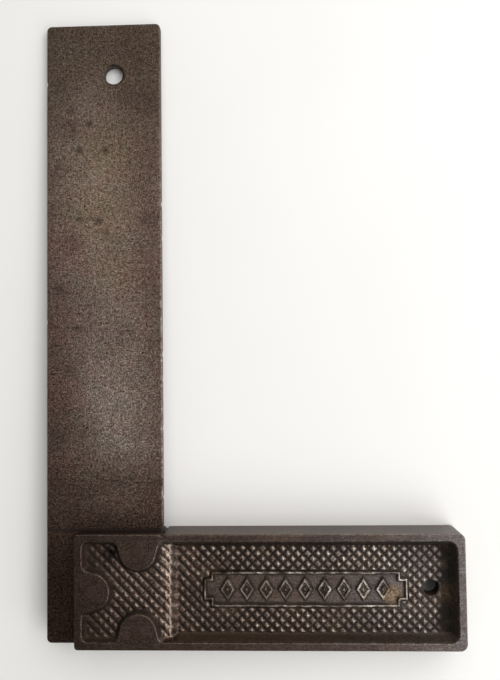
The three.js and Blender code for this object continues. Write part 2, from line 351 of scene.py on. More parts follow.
def decoration(points):
    """The heights of the raised frame and of the lozenges, from 0 to 1, with the distances
    in from the frame's outline and from the foot of the nearest ridge or lozenge."""
    frame_edge = frame_distance(points) + 0.1 * wobble(points, 1.7, 6.6)
    off_ridge = np.abs(frame_edge + RIDGE_WIDTH / 2)
    ridge = 1 - smoothstep(off_ridge, 0.15, RIDGE_WIDTH / 2 + 0.08)
    in_lozenge = -lozenge_distance(points)
    # A raised border, a sunk field and a small raised middle
    lozenge = smoothstep(in_lozenge, -0.1, 0.3) - 0.7 * smoothstep(in_lozenge, 0.75, 1.1)
    lozenge += 0.8 * smoothstep(in_lozenge, 1.25, 1.7)
    off_foot = np.minimum(np.abs(off_ridge - RIDGE_WIDTH / 2 - 0.15), np.abs(in_lozenge + 0.2))
    return ridge, lozenge, -frame_edge, off_foot


def proudness(points, tooth, strength, ridge, lozenge):
    """How far each point in the pockets stands out to be rubbed, from 0 to about 1, with painted
    highlight added on the step, whose slope faces the light.
    """
    on_slope = smoothstep(points[:, 0], STEP[0], STEP[0] + 0.8)
    on_slope *= 1 - smoothstep(points[:, 0], STEP[1] - 0.3, STEP[1] + 0.5)
    # On the step's slope, which faces the light, 0.2 is painted highlight; the next line adds wear
    # and more painted highlight at its top
    proud = tooth * strength * (1 - 0.7 * on_slope) + 0.2 * on_slope
    proud += STEP_WEAR_AND_HIGHLIGHT * near(points[:, 0] - STEP[0], 1.8)
    rubbed = 0.8 + 0.9 * wobble(points, 2.4, 3.7)
    return np.maximum(proud, rubbed * np.maximum(0.68 * ridge, 0.8 * lozenge))


def stock_relief(points):
    """Height above the middle plane, brightness by wear, with painted highlight on the step, and
    darkness by grime and painted shade, at each point.
    """
    pocket = pocket_distance(points) + 0.05 * wobble(points, 1.3, 1.0)
    edge = stock_distance(points)
    depth = JOINT_DEPTH + (GRIP_DEPTH - JOINT_DEPTH) * smoothstep(points[:, 0], *STEP)
    off_wall = pocket - depth * WALL_SLOPE
    drop = smooth_min(smooth_max(pocket / WALL_SLOPE, 0, 0.5), depth, 1.2)

    tooth = knurl_tooth(points)
    strength = knurl_strength(points, off_wall)
    ridge, lozenge, inside_frame, off_foot = decoration(points)
    raised = KNURL_HEIGHT * tooth * strength
    raised += RIDGE_HEIGHT * np.maximum(ridge, LOZENGE_HEIGHT * lozenge)
    casting = 0.04 * wobble(points, 2.1, 2.0) * smoothstep(pocket, 0, 0.8)
    height = STOCK_TOP - drop - arris_drop(edge) + raised + casting
    height = np.minimum(height, STOCK_TOP)

    edges = np.maximum(MOUTH_WEAR * near(pocket, 0.2), EDGE_WEAR * near(edge, 0.3))
    proud = proudness(points, tooth, strength, ridge, lozenge)
    below_rim = smoothstep(drop, 0.1, 0.6)
    # Wear, with painted highlight on the step carried in proud
    wear = np.clip(np.maximum(edges, below_rim * smoothstep(proud, 0.25, 0.9)), 0, 1)

    on_wall = 1 - smoothstep(off_wall, -0.3, 0.3)
    in_frame = smoothstep(inside_frame, 0.6, 1.2)
    grime_and_shade = below_rim * (1 - smoothstep(proud, 0.05, 0.45))
    grime_and_shade *= 1 - np.maximum(0.85 * in_frame, 0.45 * on_wall)
    # Painted shadow: the crevices at the foot of the raised frame's ridge and of the lozenges are
    # darkened
    grime_and_shade = np.maximum(grime_and_shade, 0.9 * near(off_foot, 0.28))
    # Painted shade round the mouth of the stock's hole, carried down its wall
    at_hole = circle_distance(points, STOCK_HOLE, STOCK_HOLE_RADIUS)
    return height, wear, np.maximum(grime_and_shade, near(at_hole, 0.4))


# ---- meshes

def new_object(name, data):
    made = bpy.data.objects.new(name, data)
    bpy.context.scene.collection.objects.link(made)
    return made


def thin_out(points, keepers, gap):
    """The points that are at least gap away from every keeper."""
    tree = kdtree.KDTree(len(keepers))
    for i, (x, y) in enumerate(keepers):
        tree.insert((x, y, 0), i)
    tree.balance()
    return np.array([p for p in points if tree.find((p[0], p[1], 0))[2] >= gap])


def offset_ring(outline, distance, level):
    """The outline moved to where distance(points) is level, without the places that fold."""
    step, tolerance = 0.01, 0.02
    across = np.column_stack([
        distance(outline + (step, 0)) - distance(outline - (step, 0)),
        distance(outline + (0, step)) - distance(outline - (0, step)),
    ])
    across /= np.maximum(np.hypot(*across.T), 1e-9)[:, None]
    moved = outline + across * (level - distance(outline))[:, None]
    return moved[np.abs(distance(moved) - level) < tolerance]


def grid(low, high, step):
    xs = np.arange(low[0] + step / 2, high[0], step)
    ys = np.arange(low[1] + step / 2, high[1], step)
    return np.stack(np.meshgrid(xs, ys), -1).reshape(-1, 2)


def triangulated(outline, distance, holes, inner_points):
    """The points and triangles of a flat plate with round holes in it."""
    walls = [outline, *(circle(*hole) for hole in holes)]
    inner_points = inner_points[is_metal(inner_points, distance, holes)]
    points = [Vector(point) for point in np.vstack([*walls, inner_points]).tolist()]
    edges, first = [], 0
    for wall in walls:
        around = len(wall)
        edges += [(first + k, first + (k + 1) % around) for k in range(around)]
        first += around
    found = delaunay_2d_cdt(points, edges, [], 0, 1e-5)
    flat = np.array([tuple(v) for v in found[0]])
    triangles = np.array(found[2])
    return flat, triangles[is_metal(flat[triangles].mean(axis=1), distance, holes)]


def rim_of(triangles, count):
    """The edges that only one of the triangles has, where there are count points."""
    sides = np.vstack([triangles[:, [0, 1]], triangles[:, [1, 2]], triangles[:, [2, 0]]])
    codes = sides[:, 0] * count + sides[:, 1]
    reverse = sides[:, 1] * count + sides[:, 0]
    return sides[~np.isin(codes, reverse)]


def plate_mesh(name, outline, distance, holes, inner_points, relief):
    """A closed plate, alike on both faces: distance says how far inside its outline a point
    is, and relief gives the upper face's height above the middle plane, wear and grime, with
    painted highlight in the wear and painted shade in the grime."""
    flat, triangles = triangulated(outline, distance, holes, inner_points)
    count = len(flat)
    height, wear, grime_and_shade = relief(flat)

    # The side walls go down in rows from the upper face's rim to the lower face's
    rim = rim_of(triangles, count)
    edge_points = np.unique(rim)
    row_of = np.full(count, -1)
    row_of[edge_points] = np.arange(len(edge_points))
    side_height, side_grime_and_shade = height[edge_points], grime_and_shade[edge_points]
    rows = [edge_points]
    vertices = [np.column_stack([flat, height]), np.column_stack([flat, -height])]
    shades = [(wear, grime_and_shade), (wear, grime_and_shade)]
    total = 2 * count
    upper_rows = [side_height - below for below in SIDE_ROWS]
    for z in (*upper_rows, *(-row for row in reversed(upper_rows))):
        vertices.append(np.column_stack([flat[edge_points], z]))
        # The side walls get wear and a painted reflection of the table, less where their edge holds
        # dirt or painted shade; the painted shade at a hole's mouth runs down its wall
        shades.append((SIDE_WEAR_AND_SHEEN * (1 - side_grime_and_shade), side_grime_and_shade))
        rows.append(total + np.arange(len(z)))
        total += len(z)
    rows.append(edge_points + count)

    faces = [triangles, triangles[:, ::-1] + count]
    a, b = row_of[rim[:, 0]], row_of[rim[:, 1]]
    for upper, lower in zip(rows, rows[1:]):
        faces.append(np.column_stack([upper[a], lower[a], lower[b]]))
        faces.append(np.column_stack([upper[a], lower[b], upper[b]]))
    shades = [np.concatenate(values) for values in zip(*shades)]
    return new_piece(name, np.vstack(vertices), np.vstack(faces).tolist(), shades)


def new_piece(name, vertices, faces, shades=None):
    """A mesh object from points in millimetres from the inside corner."""
    mesh = bpy.data.meshes.new(name)
    mesh.from_pydata((np.array(CORNER) + np.array(vertices) * MM).tolist(), [], faces)
    for label, values in zip(("wear", "grime_and_shade"), shades or ()):
        attribute = mesh.attributes.new(label, "FLOAT", "POINT")
        attribute.data.foreach_set("value", values.astype(np.float32))
    mesh.validate()
    return new_object(name, mesh)


def cut_box(piece, low, high):
    """Cuts a box, given in millimetres from the inside corner, out of the piece."""
    corners = [(x, y, z) for x in (low[0], high[0]) for y in (low[1], high[1])
               for z in (low[2], high[2])]
    sides = [(0, 1, 3, 2), (4, 6, 7, 5), (0, 4, 5, 1), (2, 3, 7, 6), (0, 2, 6, 4), (1, 5, 7, 3)]
    cutter = new_piece("cutter", corners, sides)
    cut = piece.modifiers.new("slot", "BOOLEAN")
    cut.object = cutter
    cut.operation = "DIFFERENCE"
    cut.solver = "MANIFOLD"
    bpy.context.view_layer.update()
    graph = bpy.context.evaluated_depsgraph_get()
    done = bpy.data.meshes.new_from_object(piece.evaluated_get(graph))
    piece.modifiers.clear()
    piece.data = done
    bpy.data.objects.remove(cutter)


# ---- the pieces

def stock_outline():
    right = NOTCH[0] + NOTCH_RADIUS
    left = NOTCH[0] - NOTCH_RADIUS
    bottom = NOTCH[1] - NOTCH_RADIUS
    round_end = NOTCH_RADIUS * 0.99  # two such corners make the notch's round bottom
    return rounded_polygon([
        (STOCK_START, STOCK_EDGE, SLOTTED_END_CORNER),
        (STOCK_END, STOCK_EDGE, FREE_END_CORNER),
        (STOCK_END, 0, FREE_END_CORNER),
        (right, 0, 0),
        (right, bottom, round_end),
        (left, bottom, round_end),
        (left, 0, 0),
        (STOCK_START, 0, SLOTTED_END_CORNER),
    ])


def pocket_outline():
    low_x, high_x = STOCK_START + RIM, STOCK_END - RIM
    low_y, high_y = STOCK_EDGE + RIM, -RIM
    lean = math.tan(PAD_SPLAY)
    half_root = PAD_RADIUS / math.cos(PAD_SPLAY) + (PAD_REACH - PAD_RADIUS) * lean
    half_tip = half_root - PAD_REACH * lean
    round_tip = PAD_RADIUS * 0.999  # two such corners make a pad's round tip

    def pad(root, along):
        """A pad's four corners, from its root on the wall, which the outline follows along."""
        tip = root + Vector((-along.y, along.x)) * PAD_REACH
        return [
            (*(root - along * half_root), PAD_FLARE),
            (*(tip - along * half_tip), round_tip),
            (*(tip + along * half_tip), round_tip),
            (*(root + along * half_root), PAD_FLARE),
        ]

    return rounded_polygon([
        (low_x, low_y, JOINT_CORNER),
        *pad(Vector((PAD_X, low_y)), Vector((1, 0))),
        (high_x, low_y, GRIP_CORNER),
        (high_x, high_y, GRIP_CORNER),
        *pad(Vector((PAD_X, high_y)), Vector((-1, 0))),
        (low_x, high_y, JOINT_CORNER),
        *pad(Vector((low_x, MIDDLE_Y)), Vector((0, -1))),
    ])


def frame_rings():
    """Points along the flanks and the top of the raised frame."""
    quarter = [TAB_HALF, (FRAME_HALF[0], TAB_HALF[1]), FRAME_HALF]
    rings = []
    for inset in (-0.13, 0.0, 0.14, 0.28, 0.5, 0.72, 0.86, 1.0, 1.13):
        corners = [(x - inset, y - inset, 0) for x, y in quarter]
        corners += [(-x, y, 0) for x, y, _ in reversed(corners)]
        corners += [(-x, -y, 0) for x, y, _ in corners]
        rings.append(rounded_polygon(corners) + (FRAME_X, MIDDLE_Y))
    return rings


def lozenge_rings():
    """Points along the edges of each lozenge."""
    rings = []
    for centre in lozenge_centres():
        for inset in (-0.1, 0.1, 0.3, 0.75, 0.95, 1.1, 1.3, 1.5, 1.7):
            x, y = (half * (1 - inset / LOZENGE_INSET) for half in LOZENGE_HALF)
            corners = [(x, 0, 0), (0, y, 0), (-x, 0, 0), (0, -y, 0)]
            rings.append(rounded_polygon(corners, LOZENGE_STEP) + centre)
    return rings


def knurl_points():
    """The mesh points of the knurl: on every groove and tooth, and evenly in between."""
    reach = int(KNURL_STEPS * (STOCK_END - STOCK_START) * GROOVES_PER_MM.max() * 2)
    i, j = np.meshgrid(np.arange(-reach, reach), np.arange(-reach, reach))
    phases = np.array([i.ravel(), j.ravel()]) / KNURL_STEPS
    plain = (np.linalg.inv(GROOVES_PER_MM) @ (phases - FIRST_GROOVE[:, None])).T
    in_box = (plain > (STOCK_START, STOCK_EDGE)) & (plain < (STOCK_END, 0))
    plain = plain[in_box.all(axis=1)]
    return plain + drift(plain)


def stock_rings():
    """Points along the stock's rounded edges, the pockets' walls and the mouths of the holes."""
    outline, pocket = stock_outline(), pocket_outline()
    edge_levels = (*arris_levels(20, 38, 55, 72, 90), 0.45)
    rings = [offset_ring(outline, stock_distance, level) for level in edge_levels]
    pocket_levels = (-0.4, -0.22, -0.13, -0.04, 0.05, 0.14, 0.24, 0.45, 0.7, 0.95, 1.2, 1.45, 1.7)
    rings += [offset_ring(pocket, pocket_distance, level) for level in pocket_levels]
    rings.append(circle(STOCK_HOLE, STOCK_HOLE_RADIUS + 0.15))
    rings += [circle(place, RIVET_RADIUS + 0.3) for place in RIVETS.values()]
    return [ring[stock_distance(ring) > 0.01] for ring in rings]


def stock_fill():
    """Points of the knurl, the flat metal round the pockets and the field inside the frame."""
    knurl = knurl_points()
    off_rim = pocket_distance(knurl)
    on_floor = (off_rim > 1.05) & ((off_rim > 1.8) | (knurl[:, 0] < STEP[0]))
    knurl = knurl[on_floor & (frame_distance(knurl) > 0.2)]
    flats = grid((STOCK_START, STOCK_EDGE), (STOCK_END, 0), FLAT_STEP)
    flats = flats[(pocket_distance(flats) < -0.6) & (stock_distance(flats) > 0.7)]
    low, high = (FRAME_X - TAB_HALF[0], STOCK_EDGE), (FRAME_X + TAB_HALF[0], 0)
    field = grid(low, high, FIELD_STEP)
    field = field[(frame_distance(field) < -1.0) & (lozenge_distance(field) > 0.25)]
    return np.vstack([knurl, flats, field])


def make_stock():
    rings = stock_rings()
    decorated = np.vstack([*frame_rings(), *lozenge_rings()])
    walls = [circle(*hole) for hole in STOCK_HOLES]
    fill = thin_out(stock_fill(), np.vstack([*rings, *walls, decorated]), RING_GAP)
    inner = np.vstack([*rings, decorated, fill])
    shape = (stock_outline(), stock_distance, STOCK_HOLES)
    stock = plate_mesh("stock_casting", *shape, inner, stock_relief)
    gap = BLADE_TOP + SLOT_GAP
    cut_box(stock, (STOCK_START - 1, STOCK_EDGE - 1, -gap), (SLOT_END, 1, gap))
    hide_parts("stock")
    return stock


def inwards(points):
    """The way in x from the blade's nearer long edge to its middle."""
    return np.where(points[:, 0] < BLADE_LEFT / 2, 1, -1)


def nick_depth(points):
    """How far the nicks have moved the blade's nearer long edge inwards."""
    depth = np.zeros(len(points))
    for way, place, half_length, deepest in NICKS:
        within = np.clip(1 - ((points[:, 1] - place) / half_length) ** 2, 0, 1)
        depth += np.where(inwards(points) == way, deepest * within**2, 0)
    return depth


def blade_distance(points):
    """Distance inside the blade's outline, negative outside it."""
    low, high = (BLADE_LEFT, BLADE_FOOT), (0, BLADE_TIP)
    plain = box_distance(points, low, high, BLADE_CORNER, BLADE_CORNER)
    return -plain - nick_depth(points)


def blade_relief(points):
    """Height, wear and painted shade of the blade's face: the shade is painted round its hole, and
    there are fewer bright flecks towards its tip.
    """
    edge = blade_distance(points)
    off_hole = circle_distance(points, BLADE_HOLE, BLADE_HOLE_RADIUS)
    mouth = 0.3 * (1 - smoothstep(off_hole, 0, 0.45))
    height = BLADE_TOP - 0.8 * arris_drop(edge) - mouth
    flecks = smoothstep(wobble(points, 0.9, 7.3) + 0.5 * wobble(points, 9, 2.2), 0.05, 0.5)
    flecks *= (inwards(points) < 0) * (1 - 0.7 * smoothstep(points[:, 1], 60, 110))
    wear = (BLADE_EDGE_WEAR + FLECK_WEAR * flecks) * near(edge, 0.35)
    # Painted shade round the mouth of the blade's hole, carried down its wall
    grime_and_shade = 0.7 * near(off_hole, 0.6)
    return height, wear, grime_and_shade


def make_blade():
    corners = (BLADE_LEFT, BLADE_FOOT), (0, BLADE_FOOT), (0, BLADE_TIP), (BLADE_LEFT, BLADE_TIP)
    outline = rounded_polygon([(x, y, BLADE_CORNER) for x, y in corners])
    outline[:, 0] += inwards(outline) * nick_depth(outline)
    edge_levels = (*arris_levels(25, 45, 65, 90), 0.6)
    rings = [offset_ring(outline, blade_distance, level) for level in edge_levels]
    rings += [circle(BLADE_HOLE, BLADE_HOLE_RADIUS + level) for level in (0.12, 0.25, 0.45, 0.8)]
    walls = [circle(*hole) for hole in BLADE_HOLES]
    fill = grid((BLADE_LEFT, BLADE_FOOT), (0, BLADE_TIP), BLADE_STEP)
    fill = fill[blade_distance(fill) > 1.0]
    fill = thin_out(fill, np.vstack([*rings, *walls]), BLADE_RING_GAP)
    inner = np.vstack([*rings, fill])
    shape = (outline, blade_distance, BLADE_HOLES)
    blade = plate_mesh("blade_strip", *shape, inner, blade_relief)
    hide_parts("blade")
    return blade


def make_rivet(name, place):
    """A rivet with both ends spread and ground flush with the stock."""
    radius = RIVET_RADIUS - SLOT_GAP
    top = STOCK_TOP - RIVET_SUNK
    # Rings of points from the upper end down to the shank: share of the radius, and height
    half = [(0.5, top), (0.95, top - 0.002), (0.99, top - 0.015), (1, top - 0.06), (0.8, top - 0.9)]
    profile = half + [(share, -z) for share, z in reversed(half)]
    vertices, faces = [], []
    for share, z in profile:
        for k in range(RIVET_SIDES):
            angle = 2 * math.pi * k / RIVET_SIDES
            x = place[0] + radius * share * math.cos(angle)
            vertices.append((x, place[1] + radius * share * math.sin(angle), z))
    last = (len(profile) - 1) * RIVET_SIDES
    for ring in range(0, last, RIVET_SIDES):
        for k in range(RIVET_SIDES):
            upper, after = ring + k, ring + (k + 1) % RIVET_SIDES
            faces.append((upper, upper + RIVET_SIDES, after + RIVET_SIDES, after))
    top_centre, bottom_centre = len(vertices), len(vertices) + 1
    vertices += [(*place, top), (*place, -top)]
    for k in range(RIVET_SIDES):
        after = (k + 1) % RIVET_SIDES
        faces.append((top_centre, k, after))
        faces.append((bottom_centre, last + after, last + k))
    rivet = new_piece(name + "_set", vertices, faces)
    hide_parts(name)
    return rivet


# ---- materials

# A metal's colour is its tone to these powers for red, green and blue, times a hue between the
# two of its pair, for its coolest and its warmest places
HUE_POWERS = (0.86, 1, 1.06)
IRON_HUES = ((0.83, 1, 1.11), (0.98, 1, 0.95))
TOOTH_HUES = ((0.88, 1, 1.03), (1.01, 1, 0.89))
RIVET_HUES = ((0.98, 1, 0.95), (1.02, 1, 0.92))
BLADE_HUES = ((0.91, 1, 0.89), (1.15, 1, 0.94))
OLIVE_BLADE_HUES = tuple((red, green, 0.88 * blue) for red, green, blue in BLADE_HUES)

DULL_SPECULAR = 0.12  # for the dirt, rust and painted shade on a metal

# Plain colours
# Rust colour, also used for the painted shade round the blade's hole and for the dirt and painted
# contact shadow along the stock
DARK_RUST_AND_SHADE = (0.018, 0.012, 0.010)
WORN_STEEL = (0.42, 0.38, 0.35)
# The next two colours are those of the dirt in the hollows and of the painted shade in the crevices
# and round the hole
BLACK_DIRT_AND_SHADE = (0.009, 0.006, 0.004)
BROWN_DIRT_AND_SHADE = (0.071, 0.044, 0.025)
# Colour of the painted shadow beside the inner pad
PAD_SHADOW_BLACK = (0.004, 0.003, 0.002)
DARK_GOLD = (0.11, 0.065, 0.03)
PALE_GOLD = (0.5, 0.33, 0.15)
PALE_TABLE = ((0.80, 0.785, 0.76), (0.84, 0.83, 0.815))


class Recipe:
    """A material's node tree, with its places in millimetres from the inside corner."""

    def __init__(self, name):
        self.material = bpy.data.materials.new(name)
        self.material.use_nodes = True
        self.tree = self.material.node_tree
        self.shader = self.tree.nodes["Principled BSDF"]
        metres = self.add("ShaderNodeTexCoord").outputs["Object"]
        self.place = self.mapped(metres, (1 / MM,) * 3, -CORNER / MM)
        split = self.add("ShaderNodeSeparateXYZ")
        self.link(self.place, split.inputs[0])
        self.x, self.y, self.z = split.outputs

    def add(self, kind, **settings):
        made = self.tree.nodes.new(kind)
        for key, value in settings.items():
            setattr(made, key, value)
        return made

    def link(self, source, target):
        """Links a socket, or sets a plain value."""
        if isinstance(source, bpy.types.NodeSocket):
            self.tree.links.new(source, target)
        else:
            target.default_value = source

    def mapped(self, place, scale, location):
        """The place scaled, and then moved by location."""
        mapping = self.add("ShaderNodeMapping")
        self.link(place, mapping.inputs["Vector"])
        mapping.inputs["Scale"].default_value = scale
        mapping.inputs["Location"].default_value = location
        return mapping.outputs[0]

    def texture(self, kind, scale, location):
        made = self.add(kind)
        self.link(self.mapped(self.place, scale, location), made.inputs["Vector"])
        made.inputs["Scale"].default_value = 1
        return made

    def noise(self, size, detail=4, roughness=0.55, stretch=(1, 1, 1), shift=0, contrast=1):
        """Fractal noise whose largest features are about size millimetres across."""
        scale = [1 / (size * s) for s in stretch]
        texture = self.texture("ShaderNodeTexNoise", scale, (shift, 2 * shift, 3 * shift))
        texture.inputs["Detail"].default_value = detail
        texture.inputs["Roughness"].default_value = roughness
        if contrast == 1:
            return texture.outputs["Fac"]
        return self.ramp(texture.outputs["Fac"], 0.5 - 0.5 / contrast, 0.5 + 0.5 / contrast)

    def spots(self, size, radius):
        """Small round spots, 1 in the middle and 0 outside, scattered size apart."""
        texture = self.texture("ShaderNodeTexVoronoi", (1 / size,) * 3, (0, 0, 0))
        return self.ramp(texture.outputs["Distance"], radius / size, 0)

    def round_mark(self, x, y, radius):
        """A soft round mark, 1 in its middle and 0 at its radius."""
        node = self.add("ShaderNodeVectorMath", operation="DISTANCE")
        flat = self.add("ShaderNodeCombineXYZ")
        self.link(self.x, flat.inputs["X"])
        self.link(self.y, flat.inputs["Y"])
        self.link(flat.outputs[0], node.inputs[0])
        node.inputs[1].default_value = (x, y, 0)
        return self.ramp(node.outputs["Value"], radius, 0, smooth=True)

    def round_marks(self, places):
        """Several soft round marks, each given by its x, y, radius and strength."""
        stained = 0.0
        for x, y, radius, strength in places:
            round_mark = self.product(self.round_mark(x, y, radius), strength)
            stained = self.math("MAXIMUM", round_mark, stained)
        return stained

    def ramp(self, value, start, end, smooth=False):
        """0 at start and 1 at end, in a straight line or a smooth curve between."""
        node = self.add("ShaderNodeMapRange")
        if smooth:
            node.interpolation_type = "SMOOTHSTEP"
        self.link(value, node.inputs["Value"])
        node.inputs["From Min"].default_value = start
        node.inputs["From Max"].default_value = end
        return node.outputs["Result"]

    def levels(self, value, steps):
        """A curve through the (value, level) steps."""
        low, high = steps[0][0], steps[-1][0]
        node = self.add("ShaderNodeValToRGB")
        self.link(self.ramp(value, low, high), node.inputs["Fac"])
        stops = node.color_ramp.elements
        while len(stops) < len(steps):
            stops.new(1)
        for stop, (at, level) in zip(stops, steps):
            stop.position = (at - low) / (high - low)
            stop.color = (level, level, level, 1)
        return node.outputs["Color"]

    def math(self, operation, *values):
        node = self.add("ShaderNodeMath", operation=operation)
        for value, socket in zip(values, node.inputs):
            self.link(value, socket)
        return node.outputs[0]

    def product(self, *values):
        result = values[0]
        for value in values[1:]:
            result = self.math("MULTIPLY", result, value)
        return result

    def vary(self, value, *swings):
        """The value made larger and smaller by each (noise, strength) swing."""
        for source, strength in swings:
            factor = self.add("ShaderNodeMath", operation="MULTIPLY_ADD")
            self.link(source, factor.inputs[0])
            factor.inputs[1].default_value = 2 * strength
            factor.inputs[2].default_value = 1 - strength
            value = self.product(value, self.math("MAXIMUM", factor.outputs[0], 0.0))
        return value

    def mix(self, factor, a, b):
        """Colour a where factor is 0, and colour b where it is 1."""
        node = self.add("ShaderNodeMix", data_type="RGBA")
        self.link(factor, node.inputs["Factor"])
        for colour, socket in ((a, node.inputs[6]), (b, node.inputs[7])):
            self.link(colour if not isinstance(colour, tuple) else (*colour, 1), socket)
        return node.outputs[2]

    def tinted(self, tone, warmth, hues):
        """A metal of that tone, from the first of its two hues to the second with warmth."""
        channels = self.add("ShaderNodeCombineXYZ")
        for power, channel in zip(HUE_POWERS, channels.inputs):
            self.link(self.math("POWER", tone, power), channel)
        node = self.add("ShaderNodeVectorMath", operation="MULTIPLY")
        self.link(self.mix(warmth, *hues), node.inputs[0])
        self.link(channels.outputs[0], node.inputs[1])
        return node.outputs[0]

    def attribute(self, name):
        return self.add("ShaderNodeAttribute", attribute_name=name).outputs["Fac"]

    def bump(self, height, distance, strength, below=None):
        """A bump of that many millimetres, laid over another one."""
        node = self.add("ShaderNodeBump")
        self.link(height, node.inputs["Height"])
        node.inputs["Distance"].default_value = distance * MM
        node.inputs["Strength"].default_value = strength
        if below is not None:
            self.link(below, node.inputs["Normal"])
        return node.outputs[0]

    def finish(self, colour, roughness, metallic, normal, specular=0.5):
        self.link(colour, self.shader.inputs["Base Color"])
        self.link(roughness, self.shader.inputs["Roughness"])
        self.link(metallic, self.shader.inputs["Metallic"])
        self.link(normal, self.shader.inputs["Normal"])
        self.shader.inputs["Specular IOR Level"].default_value = specular
        return self.material


# Tone of the blade's patina against y, at its edges and where hands have rubbed it
EDGE_PATINA = (
    (-36, 0.022), (-12, 0.025), (-4, 0.034), (3, 0.044), (9, 0.062), (25, 0.07),
    (40, 0.087), (60, 0.083), (110, 0.08), (125, 0.055), (145, 0.042), (153, 0.046),
)
RUBBED_PATINA = (
    (-36, 0.022), (-12, 0.025), (-4, 0.034), (3, 0.048), (9, 0.076), (15, 0.088),
    (25, 0.189), (40, 0.196), (50, 0.165), (65, 0.155), (76, 0.14), (96, 0.145),
    (110, 0.128), (129, 0.082), (145, 0.055), (153, 0.05),
)
RUBBED_HALF_WIDTH = 19
RUBBED_MIDDLE = -8.0  # of the rubbed strip in x, level with the stock's inner face
RUBBED_WANDER = 5.0  # how far noise moves it left, at most
RUBBED_LEAN = 0.1  # how far it leans left for each millimetre up

# How warm the blade's colour is against y, and the places where it is rustier or more olive:
# x, y, radius and strength
WARMTH = ((-36, 0.5), (84, 0.5), (105, 0.47), (122, 0.35), (135, 0.1), (153, 0.05))
RUSTY_PLACES = (
    (-31, 41, 11, 0.7), (-31, 20, 9, 0.4), (-28, 84, 10, 0.7),
    (-31, 60, 9, 0.5), (-8, 75, 10, 0.3),
)
OLIVE_PLACES = ((-17, 112, 16, 1), (-19, 94, 18, 1), (-14, 78, 13, 0.8))

# Faint stains on the blade, and small dark spots of rust: x, y, radius and strength
STAINS = (
    (-27.5, 121, 6, 0.45), (-27, 86, 6.5, 0.55), (-33, 96, 4, 0.35),
    (-27.5, 47, 3.6, 0.65), (-4, 92.5, 4.5, 0.35), (-13.5, 15, 5, 0.4),
    (-3, 128, 7, 0.3), (-31, 134, 6, 0.3), (-33, 27, 6, 0.35),
    (-28, 60, 4, 0.35), (-10, 129.5, 5.5, 0.3),
)
SPOTS = (
    (-21.8, 122, 1.7, 1), (-27.3, 126.2, 2.3, 0.7), (-24.7, 114, 2, 1),
    (-16.8, 113.8, 2, 0.9), (-18.9, 92.2, 1.8, 1), (-5, 92, 2, 0.7),
    (-25, 93, 1.4, 0.8), (-30.8, 72, 2.6, 0.8), (-25.6, 60, 2, 0.9),
    (-9.5, 110, 1.3, 0.7), (-12, 58.5, 1.3, 0.7), (-31.5, 109, 1.6, 0.6),
    (-16.6, 88.5, 1.5, 0.6), (-33.2, 94.5, 1.6, 0.6), (-8.5, 120, 1.2, 0.5),
)


